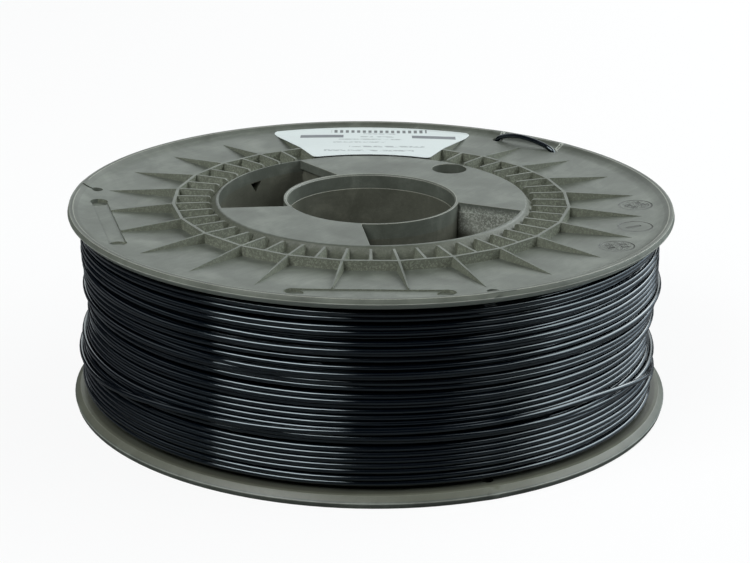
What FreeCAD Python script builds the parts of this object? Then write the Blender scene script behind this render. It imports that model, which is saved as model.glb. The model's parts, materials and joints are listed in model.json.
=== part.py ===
import FreeCAD, Part
import math
import os
import re
import Sketcher

# A filament spool of 200 mm: two flanges of the same moulding on a hub with two windows,
# wound with 1.75 mm filament whose end is held in the upper flange, and a paper label.
# The frame: Z runs along the bore, z = 0 is the underside, and +X is the hub's line of symmetry.
# Depths are measured down from the upper flange's top plane.

# name: (value, what it measures)
SIZES = {
    "width": (66.0, "over both flanges"),
    "flange_radius": (100.0, "outermost, at the rim"),
    "bore_radius": (27.45, "inside the hub tube"),
    "bore_wall": (1.65, "hub tube"),
    "bore_step": (0.35, "the flange's collar is this much wider than the hub tube"),
    "bore_bevel": (0.5, "entry edge of the bore"),
    "collar_depth": (5.0, "end of the flange's collar round the bore"),
    "drum_radius": (52.6, "outside of the drum wall"),
    "drum_wall": (2.0, "drum wall"),
    "seat_depth": (4.0, "where the drum wall seats in the flange"),
    "seat_clear": (0.1, "round the drum wall in its seat"),
    "lip_depth": (5.0, "the flange's inner face beside the drum"),
    "plate_thick": (3.0, "hub plate"),
    "plate_setback": (1.1, "from the drum wall's outside in to the hub plate's edge"),
    "plate_shoulder": (0.6, "rounded edge of the hub plate"),
    "shoulder_bulge": (0.1, "rise of that edge's arc"),
    "slope_run": (3.0, "sloped side of the hub plate, measured along the radius"),
    "channel_depth": (3.5, "floor of the channel round the hub plate"),
    "ring_radius": (66.0, "corners of the many-sided ring wall"),
    "ring_wall": (1.0, "ring wall"),
    "ring_foot": (3.2, "the flange's outer face beside the ring wall"),
    "sectors": (24.0, "sides of the ring wall"),
    "rib_top": (0.8, "top edge of ribs and fins"),
    "rib_draft": (0.1, "each side of a rib widens by this much per mm of depth"),
    "rib_gap": (1.7, "from the hub plate's edge to a rib's inner end"),
    "rib_round": (1.0, "rounded corner of a rib's inner end"),
    "rib_root": (0.4, "how deep ribs, fins and ring wall run into the flange"),
    "fin_setback": (10.5, "from the outermost radius in to a fin's tip"),
    "fin_tip": (0.3, "width of a fin's tip"),
    "rim_lip": (0.45, "from the outermost radius in to the crest's outer edge"),
    "rim_width": (1.9, "from the outermost radius in to the crest's inner edge"),
    "rim_foot": (1.85, "from the outermost radius in to the rim's lower edge"),
    "rim_depth": (3.6, "the flange's inner face at the rim"),
    "rim_ridge": (1.7, "the rim's outermost edge"),
    "cove_setback": (6.5, "from the outermost radius in to the cove's foot"),
    "cove_depth": (1.8, "the flange's outer face at the cove's foot"),
    "cove_bulge": (0.35, "hollow of the cove"),
    "window_angle": (105.0, "middle of each window, either way from +X"),
    "window_half": (30.0, "direction of a window's edge from its middle"),
    "window_offset": (6.8, "from the centre out to the line of a window's edge"),
    "web_thick": (2.0, "hub walls beside the windows"),
    "web_inset": (0.8, "the first window's walls stand back under the plate"),
    "web_ledge": (1.0, "the second window's walls stand out past the plate"),
    "drive_setback": (8.0, "from the drum wall's outside in to the drive hole's centre"),
    "drive_radius": (6.0, "drive hole"),
    "drive_wall": (1.5, "tube of the drive hole"),
    "slot_angle": (142.5, "middle of each clip slot, either way from +X"),
    "slot_setback": (12.45, "from the outermost radius in to the slot's middle"),
    "slot_width": (5.3, "clip slot"),
    "slot_length": (50.4, "clip slot with its pockets"),
    "slot_depth": (2.6, "floor of a clip slot"),
    "pocket_radius": (2.9, "round pocket at each end of a slot"),
    "pocket_depth": (3.2, "floor of those pockets"),
    "hole_radius": (1.9, "holes that hold the filament's end"),
    "rear_hole_angle": (120.0, "rear pair of those holes, either way from +X"),
    "notch_width": (1.2, "notch in the cove beside each hole"),
    "notch_reach": (0.4, "how far a notch cuts into the crest"),
    "anchor_width": (5.3, "three-cornered hole in the drum wall"),
    "anchor_height": (3.6, "that hole"),
    "anchor_depth": (4.3, "its upper side"),
    "wire": (1.75, "diameter of the filament"),
    "wire_sides": (12.0, "sides of the wire in the outer turns"),
    "turn_gap": (0.5, "least room between neighbouring turns of the outer layer"),
    "wind_setback": (4.6, "from the outermost radius in to the winding's mean outside"),
    "wind_wave": (1.0, "rise and fall of the winding's outside"),
    "wave_length": (38.0, "of that rise and fall, along the bore"),
    "wind_clear": (0.3, "from the winding to flanges and drum"),
    "layer_clear": (0.15, "from the outer turns to the winding under them"),
    "core_slope": (2.4, "the inner winding falls away below the filament's end"),
    "end_angle": (12.5, "where the outer turns end"),
    "end_drop": (0.85, "the last turn lies this much lower than the first one"),
    "tail_lead": (1.1, "where the tail starts to rise, before the first hole's centre"),
    "tail_corner": (0.5, "from each hole's centre in to the corner of the tail's route"),
    "tail_dip": (0.6, "those corners under the flange's top plane"),
    "tail_rise": (1.2, "middle corner of the tail's route over the flange's top plane"),
    "tail_under": (4.7, "end of the tail under the flange's top plane"),
    "tail_lean": (0.3, "how far the tail leans in and out in its holes"),
    "label_angle": (37.5, "middle of the label"),
    "label_half": (23.0, "half of the label's spread"),
    "label_start": (0.8, "from the hub plate's edge to the label"),
    "label_stop": (1.0, "how far the label runs up the cove"),
    "label_round": (2.0, "corners of the label"),
    "label_thick": (0.15, "label"),
    "label_clear": (0.05, "between the label and the flange"),
}

doc = FreeCAD.newDocument("filament_spool")
sheet = doc.addObject("Spreadsheet::Sheet", "Sizes")
for row, (alias, (amount, meaning)) in enumerate(SIZES.items(), start=1):
    sheet.set(f"A{row}", alias)
    sheet.set(f"B{row}", str(amount))
    sheet.set(f"C{row}", meaning)
    sheet.setAlias(f"B{row}", alias)
doc.recompute()

QUARTER_TURN = 90

# Places that follow from the sizes, as expressions
HALF = "(180 / sectors)"
TUBE = "(bore_radius + bore_wall)"
COLLAR = "(bore_radius + bore_step)"
DRUM_IN = "(drum_radius - drum_wall)"
SEAT = "(drum_radius + seat_clear)"
PLATE = "(drum_radius - plate_setback)"
RIB_END = f"({PLATE} + rib_gap)"
RING_MID = f"(ring_radius * cos({HALF}) - ring_wall / 2)"
RING_STEP = f"(ring_radius * cos({HALF}) - ring_wall / 5)"
COVE = "(flange_radius - cove_setback)"
CREST = "(flange_radius - rim_width)"
RIM_FOOT = "(flange_radius - rim_foot)"
FIN_TIP = "(flange_radius - fin_setback)"
DRIVE = "(drum_radius - drive_setback)"
SLOT = "(flange_radius - slot_setback)"
WIND = "(flange_radius - wind_setback)"


def bound(text):
    """Ties each size named in an expression to its cell."""
    return re.sub("[a-z_]+", lambda word: f"Sizes.{word[0]}" if word[0] in SIZES else word[0], text)


def measure(text):
    """Works an expression out now."""
    result = doc.Sizes.evalExpression(bound(text))
    return float(getattr(result, "Value", result))


def down(depth):
    """Height of a depth below the top plane."""
    return f"(width - ({depth}))"


def outer_face(radius):
    """Depth of the flange's outer face between ring wall and cove."""
    return f"(ring_foot + (cove_depth - ring_foot) * ({radius} - {RING_STEP}) / ({COVE} - {RING_STEP}))"


def inner_face(radius):
    """Depth of the flange's inner face between drum and rim."""
    return f"(lip_depth + (rim_depth - lip_depth) * ({radius} - {SEAT}) / ({RIM_FOOT} - {SEAT}))"


def origin_part(body, role):
    return next(part for part in body.Origin.OriginFeatures if part.Role == role)


def sketch_on(body, name, role, lift="0", turn="0"):
    """A sketch on one of the body's own planes, lifted off it and turned in it."""
    sketch = body.newObject("Sketcher::SketchObject", name)
    sketch.AttachmentSupport = [(origin_part(body, role), "")]
    sketch.MapMode = "FlatFace"
    sketch.setExpression("AttachmentOffset.Base.z", bound(lift))
    sketch.setExpression("AttachmentOffset.Rotation.Angle", bound(turn))
    return sketch


def tie(sketch, kind, place, text, index):
    """Puts one coordinate of a sketch point at the value of an expression."""
    if text == "0":
        axis = -2 if kind == "DistanceX" else -1
        sketch.addConstraint(Sketcher.Constraint("PointOnObject", *place, axis))
        return
    number = sketch.addConstraint(Sketcher.Constraint(kind, -1, 1, *place, index))
    sketch.setExpression(f"Constraints[{number}]", bound(text))


def outline(sketch, corners):
    """Draws a closed outline through (x, y) or (x, y, bulge) corners.

    The bulge is the rise of the arc to the next corner, to the left of the way there.
    """
    first = sketch.GeometryCount
    points = [FreeCAD.Vector(measure(corner[0]), measure(corner[1]), 0) for corner in corners]
    starts, ends = [], []
    for number, corner in enumerate(corners):
        here, there = points[number], points[(number + 1) % len(points)]
        rise = measure(corner[2]) if len(corner) == 3 else 0
        if rise:
            chord = there - here
            radius = (chord.Length**2 / 4 + rise**2) / (2 * abs(rise))
            left = FreeCAD.Vector(-chord.y, chord.x, 0).normalize()
            centre = (here + there) / 2 + left * (rise - math.copysign(radius, rise))
            if rise > 0:
                here, there = there, here
            from_angle = math.atan2(here.y - centre.y, here.x - centre.x)
            to_angle = math.atan2(there.y - centre.y, there.x - centre.x)
            circle = Part.Circle(centre, FreeCAD.Vector(0, 0, 1), radius)
            sketch.addGeometry(Part.ArcOfCircle(circle, from_angle, to_angle))
        else:
            sketch.addGeometry(Part.LineSegment(here, there))
        starts.append((first + number, 2 if rise > 0 else 1))
        ends.append((first + number, 1 if rise > 0 else 2))
    for number, corner in enumerate(corners):
        following = (number + 1) % len(corners)
        sketch.addConstraint(Sketcher.Constraint("Coincident", *ends[number], *starts[following]))
        tie(sketch, "DistanceX", starts[number], corner[0], points[number].x)
        tie(sketch, "DistanceY", starts[number], corner[1], points[number].y)
        if len(corner) == 3:
            after = corners[following]
            span = f"(({after[0]} - ({corner[0]}))^2 + ({after[1]} - ({corner[1]}))^2)"
            size = f"({span} / 4 + ({corner[2]})^2) / (2 * abs({corner[2]}))"
            arc = Sketcher.Constraint("Radius", starts[number][0], measure(size))
            sketch.setExpression(f"Constraints[{sketch.addConstraint(arc)}]", bound(size))


def circle(sketch, x, y, radius):
    centre = FreeCAD.Vector(measure(x), measure(y), 0)
    shape = Part.Circle(centre, FreeCAD.Vector(0, 0, 1), measure(radius))
    number = sketch.addGeometry(shape)
    tie(sketch, "DistanceX", (number, 3), x, centre.x)
    tie(sketch, "DistanceY", (number, 3), y, centre.y)
    size = sketch.addConstraint(Sketcher.Constraint("Radius", number, measure(radius)))
    sketch.setExpression(f"Constraints[{size}]", bound(radius))


def feature(body, kind, name, sketch, length, **settings):
    """A pad or pocket of a given length; one side, unless the settings say otherwise."""
    made = body.newObject(f"PartDesign::{kind}", name)
    made.Profile = sketch
    made.setExpression("Length", bound(length))
    for setting, choice in settings.items():
        setattr(made, setting, choice)
    return made


def revolve(body, name, sketch):
    made = body.newObject("PartDesign::Revolution", name)
    made.Profile = sketch
    made.ReferenceAxis = (origin_part(body, "Z_Axis"), [""])
    made.Angle = 360
    return made


def round_copies(body, name, originals, count):
    made = body.newObject("PartDesign::PolarPattern", name)
    made.Originals = originals
    made.Axis = (origin_part(body, "Z_Axis"), [""])
    made.Angle = 360
    made.setExpression("Occurrences", bound(count))
    body.Tip = made


def new_body(name):
    body = doc.addObject("PartDesign::Body", name)
    body.Label = name
    return body


def flange_disc(body):
    """Disc with hub plate, channel, cove, rim, drum seat and collar, turned as one profile."""
    slope = "sqrt(slope_run^2 + channel_depth^2)"
    sketch = sketch_on(body, "disc_profile", "XZ_Plane")
    outline(sketch, [
        (f"({COLLAR} + bore_bevel)", down("0")),
        (f"({PLATE} - plate_shoulder)", down("0"), "shoulder_bulge"),
        (
            f"({PLATE} + plate_shoulder * slope_run / {slope})",
            down(f"plate_shoulder * channel_depth / {slope}"),
        ),
        (f"({PLATE} + slope_run)", down("channel_depth")),
        (RING_STEP, down("channel_depth")),
        (RING_STEP, down("ring_foot")),
        (COVE, down("cove_depth"), "-cove_bulge"),
        (CREST, down("0")),
        ("(flange_radius - rim_lip)", down("0")),
        ("flange_radius", down("rim_ridge")),
        (RIM_FOOT, down("rim_depth")),
        (SEAT, down("lip_depth")),
        (SEAT, down("seat_depth")),
        (DRUM_IN, down("seat_depth")),
        (DRUM_IN, down("plate_thick")),
        (TUBE, down("plate_thick")),
        (TUBE, down("collar_depth")),
        (COLLAR, down("collar_depth")),
        (COLLAR, down("bore_bevel")),
    ])
    revolve(body, "disc", sketch)


def bar_section(body, name, place, top_width, top_depth, foot_depth):
    """Section of a rib or fin at a radius: its sides widen with depth."""
    top = f"({top_width} / 2)"
    foot = f"({top} + rib_draft * ({foot_depth} - ({top_depth})))"
    sketch = sketch_on(body, name, "YZ_Plane", place)
    outline(sketch, [
        (f"-{foot}", down(foot_depth)),
        (f"-{top}", down(top_depth)),
        (top, down(top_depth)),
        (foot, down(foot_depth)),
    ])
    return sketch


def loft(body, name, sections):
    made = body.newObject("PartDesign::AdditiveLoft", name)
    made.Profile = sections[0]
    made.Sections = sections[1:]
    made.Ruled = True
    return made


def flange_ribs(body):
    """Ribs across the channel, the many-sided ring wall and the fins outside it."""
    rib_foot = "(channel_depth + rib_root)"
    corner = f"(1 - cos({QUARTER_TURN / 2}))"
    rounding = [
        ("end", RIB_END, "rib_round"),
        ("corner", f"({RIB_END} + rib_round * {corner})", f"(rib_round * {corner})"),
        ("crest", f"({RIB_END} + rib_round)", "0"),
        ("root", RING_MID, "0"),
    ]
    sections = [
        bar_section(body, f"rib_{name}", place, f"(rib_top + 2 * rib_draft * {depth})", depth, rib_foot)
        for name, place, depth in rounding
    ]
    round_copies(body, "ribs", [loft(body, "rib", sections)], "2 * sectors")

    face = f"(ring_radius * cos({HALF}))"
    sketch = sketch_on(body, "ring_side_outline", "XY_Plane", "width", HALF)
    outline(sketch, [
        (face, f"({face} * tan({HALF}))"),
        (face, f"-({face} * tan({HALF}))"),
        (f"({face} - ring_wall)", f"-(({face} - ring_wall) * tan({HALF}))"),
        (f"({face} - ring_wall)", f"(({face} - ring_wall) * tan({HALF}))"),
    ])
    side = feature(body, "Pad", "ring_side", sketch, "channel_depth + rib_root", Reversed=True)

    tip_depth = outer_face(FIN_TIP)
    fin_start = "ring_radius - ring_wall / 2"
    fin = loft(body, "fin", [
        bar_section(body, "fin_start", fin_start, "rib_top", "0", "(ring_foot + rib_root)"),
        bar_section(body, "fin_end", FIN_TIP, "fin_tip", tip_depth, f"({tip_depth} + rib_root)"),
    ])
    round_copies(body, "sides_and_fins", [side, fin], "sectors")


def window_corner(radius):
    """Where a window's edge line reaches a radius, in the window's own turned frame."""
    along = f"sqrt(({radius})^2 - window_offset^2)"
    x = f"({along} * cos(window_half) - window_offset * sin(window_half))"
    y = f"({along} * sin(window_half) + window_offset * cos(window_half))"
    return x, y


def mirror_copies(body, name, originals):
    made = body.newObject("PartDesign::Mirrored", name)
    made.Originals = originals
    made.MirrorPlane = (origin_part(body, "XZ_Plane"), [""])
    body.Tip = made


def drive_hole(body):
    """Hole for a drive pin, with a collar that meets the hub's tube."""
    sketch = sketch_on(body, "drive_collar_outline", "XY_Plane", down("seat_depth"))
    circle(sketch, DRIVE, "0", "drive_radius + drive_wall")
    feature(body, "Pad", "drive_collar", sketch, "seat_depth - plate_thick + rib_root")
    sketch = sketch_on(body, "drive_hole_outline", "XY_Plane", "width")
    circle(sketch, DRIVE, "0", "drive_radius")
    feature(body, "Pocket", "drive_hole", sketch, "seat_depth + rib_root")


def window(body):
    inner_x, inner_y = window_corner(TUBE)
    outer_x, outer_y = window_corner(DRUM_IN)
    sketch = sketch_on(body, "window_outline", "XY_Plane", "width", "window_angle")
    outline(sketch, [
        (inner_x, inner_y),
        (outer_x, outer_y, f"({DRUM_IN} - {outer_x})"),
        (outer_x, f"-{outer_y}"),
        (inner_x, f"-{inner_y}", f"({inner_x} - {TUBE})"),
    ])
    return feature(body, "Pocket", "window", sketch, "seat_depth")


def end_hole(body, name, angle):
    """A hole that holds the filament's end, and the notch in the cove beside it."""
    sketch = sketch_on(body, f"{name}_hole_outline", "XY_Plane", "width", angle)
    circle(sketch, COVE, "0", "hole_radius")
    hole = feature(body, "Pocket", f"{name}_hole", sketch, "lip_depth")
    sketch = sketch_on(body, f"{name}_notch_outline", "XY_Plane", "width", angle)
    edge = "(notch_width / 2)"
    tip = f"({CREST} + notch_reach)"
    outline(sketch, [(COVE, edge), (tip, edge), (tip, f"-{edge}"), (COVE, f"-{edge}")])
    return [hole, feature(body, "Pocket", f"{name}_notch", sketch, "cove_depth")]


def clip_slot(body):
    """A shallow straight slot for a clip, with a round pocket at each end."""
    sketch = sketch_on(body, "slot_outline", "XY_Plane", "width", "slot_angle")
    near, far = f"({SLOT} - slot_width / 2)", f"({SLOT} + slot_width / 2)"
    end = "(slot_length / 2 - pocket_radius)"
    outline(sketch, [(near, end), (far, end), (far, f"-{end}"), (near, f"-{end}")])
    slot = feature(body, "Pocket", "slot", sketch, "slot_depth")
    sketch = sketch_on(body, "slot_pockets_outline", "XY_Plane", "width", "slot_angle")
    for side in ("", "-"):
        circle(sketch, SLOT, f"{side}{end}", "pocket_radius")
    return [slot, feature(body, "Pocket", "slot_pockets", sketch, "pocket_depth")]


def make_flanges():
    upper = new_body("upper_flange")
    flange_disc(upper)
    drive_hole(upper)
    cuts = [window(upper)]
    for name, angle in (("front", HALF), ("rear", "rear_hole_angle")):
        cuts += end_hole(upper, name, angle)
    mirror_copies(upper, "other_window_and_holes", cuts)
    flange_ribs(upper)
    mirror_copies(upper, "other_slot", clip_slot(upper))
    lower = doc.addObject("Part::Mirroring", "lower_flange")
    lower.Label = "lower_flange"
    lower.Source = upper
    lower.Normal = FreeCAD.Vector(0, 0, 1)
    lower.setExpression("Base.z", bound("width / 2"))
    return upper, lower


def web(body, name, turn, side, inset):
    """One hub wall beside a window: joined to drum and tube, and longer between them."""
    near = f"(window_offset + {inset})"
    far = f"(window_offset + {inset} + web_thick)"
    middle = f"(window_offset + {inset} + web_thick / 2)"
    joined = (
        f"sqrt((bore_radius + bore_wall / 2)^2 - {middle}^2)",
        f"sqrt((drum_radius - drum_wall / 2)^2 - {middle}^2)",
        "width - 2 * collar_depth",
    )
    free = (
        f"sqrt(({TUBE} + seat_clear)^2 - {near}^2)",
        f"sqrt(({DRUM_IN} - seat_clear)^2 - {far}^2)",
        "width - 2 * plate_thick",
    )
    for part, (start, stop, length) in (("joined", joined), ("free", free)):
        sketch = sketch_on(body, f"{name}_{part}_outline", "XY_Plane", "width / 2", turn)
        outline(sketch, [
            (start, f"{side}{near}"),
            (stop, f"{side}{near}"),
            (stop, f"{side}{far}"),
            (start, f"{side}{far}"),
        ])
        feature(body, "Pad", f"{name}_{part}", sketch, length, SideType="Symmetric")


def make_hub():
    """Drum wall, drive tube, four webs and hub tube, moulded in one."""
    body = new_body("hub_core")
    long_length = "width - 2 * seat_depth"
    sketch = sketch_on(body, "drum_outline", "XY_Plane", "width / 2")
    circle(sketch, "0", "0", "drum_radius")
    circle(sketch, "0", "0", DRUM_IN)
    feature(body, "Pad", "drum", sketch, long_length, SideType="Symmetric")

    sketch = sketch_on(body, "drive_tube_outline", "XY_Plane", "width / 2")
    circle(sketch, DRIVE, "0", "drive_radius + drive_wall")
    feature(body, "Pad", "drive_tube", sketch, long_length, SideType="Symmetric")
    sketch = sketch_on(body, "drive_bore_outline", "XY_Plane", "width / 2")
    circle(sketch, DRIVE, "0", "drive_radius")
    feature(body, "Pocket", "drive_bore", sketch, "width", SideType="Symmetric")

    web(body, "first_front_web", "window_angle - window_half", "-", "web_inset")
    web(body, "first_rear_web", "window_angle + window_half", "", "web_inset")
    web(body, "second_front_web", "window_half - window_angle", "", "(-web_ledge)")
    web(body, "second_rear_web", "-(window_angle + window_half)", "-", "(-web_ledge)")

    sketch = sketch_on(body, "tube_outline", "XY_Plane", "width / 2")
    circle(sketch, "0", "0", TUBE)
    circle(sketch, "0", "0", "bore_radius")
    feature(body, "Pad", "tube", sketch, "width - 2 * collar_depth", SideType="Symmetric")

    # The hole for the filament's first end points down, on the +Y side of the drum wall
    sketch = sketch_on(body, "anchor_outline", "XZ_Plane", f"-({DRUM_IN} - drum_wall)")
    outline(sketch, [
        ("-anchor_width / 2", down("anchor_depth")),
        ("anchor_width / 2", down("anchor_depth")),
        ("0", down("anchor_depth + anchor_height")),
    ])
    doc.recompute()
    before = body.Shape.Volume
    feature(body, "Pocket", "anchor_hole", sketch, "3 * drum_wall")
    doc.recompute()
    print(f"anchor hole takes {before - body.Shape.Volume:.1f} cubic mm out of the drum wall")
    return body


def wave(height):
    """Radius of the winding's outside at a height, as an expression."""
    return f"({WIND} - wind_wave * cos(360 * ({height} - width / 2) / wave_length))"


def make_inner_winding():
    """Every layer under the outer one, as a plain ring that follows drum, flanges and outside."""
    body = new_body("filament_inner_winding")
    inner = "(drum_radius + wind_clear)"
    cover = "(wire + layer_clear)"
    foot = f"({inner_face(WIND)} + wind_clear)"
    shoulder = f"({down(foot)} - core_slope)"
    corners = [
        (inner, "(lip_depth + wind_clear)"),
        (inner, down("lip_depth + wind_clear")),
        (f"({wave(shoulder)} - {cover} - core_slope)", down(foot)),
    ]
    steps = 12
    for step in range(steps + 1):
        height = f"({shoulder} + ({foot} - {shoulder}) * {step} / {steps})"
        corners.append((f"({wave(height)} - {cover})", height))
    sketch = sketch_on(body, "winding_profile", "XZ_Plane")
    outline(sketch, corners)
    revolve(body, "winding", sketch)
    return body


def arc_edge(start, tangent, end):
    """The arc that leaves start along the tangent and reaches end."""
    chord = end - start
    along = FreeCAD.Vector(chord).normalize()
    side = tangent - along * tangent.dot(along)
    if side.Length < 1e-7:
        return Part.LineSegment(start, end).toShape()
    side.normalize()
    half_turn = math.acos(max(-1, min(1, tangent.dot(along))))
    middle = (start + end) / 2 + side * (chord.Length / 2 * math.tan(half_turn / 2))
    return Part.Arc(start, middle, end).toShape()


def biarc(start, start_way, end, end_way):
    """Two arcs that meet smoothly and leave and reach the two points along the given ways."""
    chord = end - start
    both = start_way + end_way
    spread = 2 * (1 - start_way.dot(end_way))
    reach = (math.sqrt(chord.dot(both)**2 + spread * chord.dot(chord)) - chord.dot(both)) / spread
    joint = (start + end + (start_way - end_way) * reach) / 2
    first = arc_edge(start, start_way, joint)
    last = arc_edge(end, end_way * -1, joint)
    return [first, Part.Arc(joint, last.valueAt(sum(last.ParameterRange) / 2), end).toShape()]


def outer_layer():
    """The outer layer's turns, the height of the lowest and the rise of each."""
    wire = measure("wire")
    low = measure(f"{inner_face(WIND)} + wind_clear") + wire / 2
    climb = measure("width") - 2 * low - measure("end_drop")
    turns = math.floor(climb / (wire + measure("turn_gap")))
    return turns, low, climb / turns


def turn_point(turn):
    """Middle of the wire after so many turns of the outer layer, and its way onward."""
    turns, low, pitch = outer_layer()
    angle = math.radians(measure("end_angle")) + 2 * math.pi * (turns - turn)
    phase = 2 * math.pi * (low + pitch * turn - measure("width") / 2) / measure("wave_length")
    radius = measure(f"{WIND} - wire / 2 - wind_wave * {math.cos(phase)}")
    growth = measure("wind_wave") * math.sin(phase) * 2 * math.pi / measure("wave_length") * pitch
    outward = FreeCAD.Vector(math.cos(angle), math.sin(angle), 0)
    onward = FreeCAD.Vector(math.sin(angle), -math.cos(angle), 0)
    point = outward * radius + FreeCAD.Vector(0, 0, low + pitch * turn)
    way = onward * (2 * math.pi * radius) + outward * growth + FreeCAD.Vector(0, 0, pitch)
    return point, way.normalize()


def round_section(start, way):
    """The wire's round section, square to its way."""
    return Part.Wire(Part.makeCircle(measure("wire") / 2, start, way))


def sided_section(start, way):
    """The wire's section with flat sides, square to its way."""
    sides = round(measure("wire_sides"))
    across = FreeCAD.Vector(0, 0, 1).cross(way).normalize() * (measure("wire") / 2)
    turn = FreeCAD.Rotation(way, 360 / sides)
    corners = [start + across]
    for _ in range(sides):
        across = turn.multVec(across)
        corners.append(start + across)
    return Part.makePolygon(corners[:-1] + corners[:1])


def pipe(name, edges, section):
    """A wire of a given section along the edges, as a node of its own."""
    route = Part.Wire(edges)
    node = doc.addObject("Part::Feature", name)
    node.Label = name
    node.Shape = route.makePipeShell([section], True, False)
    expected = Part.Face(section).Area * route.Length
    print(f"{name}: {node.Shape.Volume:.1f} cubic mm, section times length {expected:.1f}")
    return node


def make_outer_turns():
    """The outer layer: one unbroken wire that climbs from the lower flange to the upper one."""
    straight = measure("wire")
    turns, _, pitch = outer_layer()
    print(f"the outer layer has {turns} turns, {pitch:.2f} mm apart")
    stations = [turn_point(half / 2) for half in range(2 * turns + 1)]
    start, first_way = stations[0]
    end, last_way = stations[-1]
    edges = [Part.LineSegment(start - first_way * straight, start).toShape()]
    for (here, here_way), (there, there_way) in zip(stations, stations[1:]):
        edges += biarc(here, here_way, there, there_way)
    edges.append(Part.LineSegment(end, end + last_way * straight).toShape())
    section = sided_section(start - first_way * straight, first_way)
    node = pipe("filament_outer_turns", edges, section)

    samples = [point for edge in edges[1:-1] for point in edge.discretize(Number=13)[:-1]]
    half_turn = 2 * 12
    least = min(
        (samples[one] - samples[other]).Length
        for one in range(len(samples))
        for other in range(one + half_turn, len(samples))
    )
    print(f"least gap of the outer turns to themselves: {least - straight:.2f} mm")
    return node, end + last_way * straight, last_way


def rounded_route(points):
    """Straight runs joined by tangent arcs, each as large as its two runs allow."""
    edges = []
    reached = points[0]
    for before, corner, after in zip(points, points[1:], points[2:]):
        arriving = (corner - before).normalize()
        leaving = (after - corner).normalize()
        cut = 0.45 * min((corner - before).Length, (after - corner).Length)
        half_turn = arriving.getAngle(leaving) / 2
        print(f"tail bends to a radius of {cut / math.tan(half_turn):.1f} mm")
        arc_start, arc_end = corner - arriving * cut, corner + leaving * cut
        edges.append(Part.LineSegment(reached, arc_start).toShape())
        edges.append(arc_edge(arc_start, arriving, arc_end))
        reached = arc_end
    edges.append(Part.LineSegment(reached, points[-1]).toShape())
    return edges


def make_tail(start, way):
    """The filament's end: up through one front hole, over, and down through the other."""
    top = measure("width")
    place = measure(COVE)
    half = math.radians(measure(HALF))
    hole_x, hole_y = place * math.cos(half), place * math.sin(half)
    lead = (start.y - hole_y - measure("tail_lead")) / -way.y
    corner_y = hole_y - measure("tail_corner")
    corner_z = top - measure("tail_dip")
    lean = measure("tail_lean")
    route = [
        start,
        start + way * lead,
        FreeCAD.Vector(hole_x - lean, corner_y, corner_z),
        FreeCAD.Vector(place, 0, top + measure("tail_rise")),
        FreeCAD.Vector(hole_x, -corner_y, corner_z),
        FreeCAD.Vector(hole_x + lean, -hole_y - lean, top - measure("tail_under")),
    ]
    return pipe("filament_tail", rounded_route(route), round_section(start, way))


def make_label():
    """Paper label: lies on ribs and ring wall, down the fins and along to the cove."""
    skin = new_body("label_skin")
    inner = f"({PLATE} + label_start)"
    outer = f"({COVE} + label_stop)"
    up_cove = "(cove_depth * (1 - label_stop / (cove_setback - rim_width)))"
    under = [
        (inner, "0"),
        ("ring_radius", "0"),
        (FIN_TIP, outer_face(FIN_TIP)),
        (COVE, "cove_depth"),
        (outer, up_cove),
    ]
    corners = [(radius, f"({down(depth)} + label_clear)") for radius, depth in under]
    corners += [
        (radius, f"({down(depth)} + label_clear + label_thick)") for radius, depth in under[::-1]
    ]
    sketch = sketch_on(skin, "label_profile", "XZ_Plane")
    outline(sketch, corners)
    revolve(skin, "label_turned", sketch)

    blank = new_body("label_blank")
    sketch = sketch_on(blank, "label_outline", "XY_Plane", down("lip_depth"), "label_angle")
    inner_x, inner_y = f"({inner} * cos(label_half))", f"({inner} * sin(label_half))"
    outer_x, outer_y = f"({outer} * cos(label_half))", f"({outer} * sin(label_half))"
    outline(sketch, [
        (inner_x, inner_y),
        (outer_x, outer_y, f"({outer} - {outer_x})"),
        (outer_x, f"-{outer_y}"),
        (inner_x, f"-{inner_y}", f"({inner_x} - {inner})"),
    ])
    pad = feature(blank, "Pad", "label_pad", sketch, "2 * lip_depth")
    doc.recompute()
    upright = [
        f"Edge{number}"
        for number, edge in enumerate(pad.Shape.Edges, start=1)
        if abs(edge.tangentAt(edge.FirstParameter).z) > 0.99
    ]
    corners = blank.newObject("PartDesign::Fillet", "label_corners")
    corners.Base = (pad, upright)
    corners.setExpression("Radius", bound("label_round"))
    blank.Tip = corners

    label = doc.addObject("Part::Common", "label")
    label.Label = "label"
    label.Base = skin
    label.Tool = blank
    return label


upper_flange, lower_flange = make_flanges()
hub_core = make_hub()
inner_winding = make_inner_winding()
outer_turns, turns_end, turns_way = make_outer_turns()
tail = make_tail(turns_end, turns_way)
label = make_label()
doc.recompute()

nodes = [upper_flange, lower_flange, hub_core, inner_winding, outer_turns, tail, label]
for item in doc.Objects:
    if "Invalid" in item.State or "Error" in item.State:
        raise RuntimeError(f"{item.Label} failed: {item.State}")
for node in nodes:
    if node.Shape.isNull() or not node.Shape.isValid() or len(node.Shape.Solids) != 1:
        raise RuntimeError(f"{node.Label} is not one valid solid")

os.makedirs("parts", exist_ok=True)
for node in nodes:
    node.Shape.exportStep(f"parts/{node.Label}.step")
    print(f"{node.Label}: {node.Shape.Volume / 1000:.2f} cubic cm")
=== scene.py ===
# %% [markdown]
# A full spool of black filament, as it stands on a workbench: two flanges of grey-green moulded
# plastic on a hub, wound with glossy strands whose end is held in the upper flange.
# The packed model gives every piece its place and size. It is loaded first.

# %% Load the packed model
import bpy
import json
import numpy as np
from math import atan2, cos, degrees, pi, radians, sin, sqrt
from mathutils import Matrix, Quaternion, Vector, noise

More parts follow.
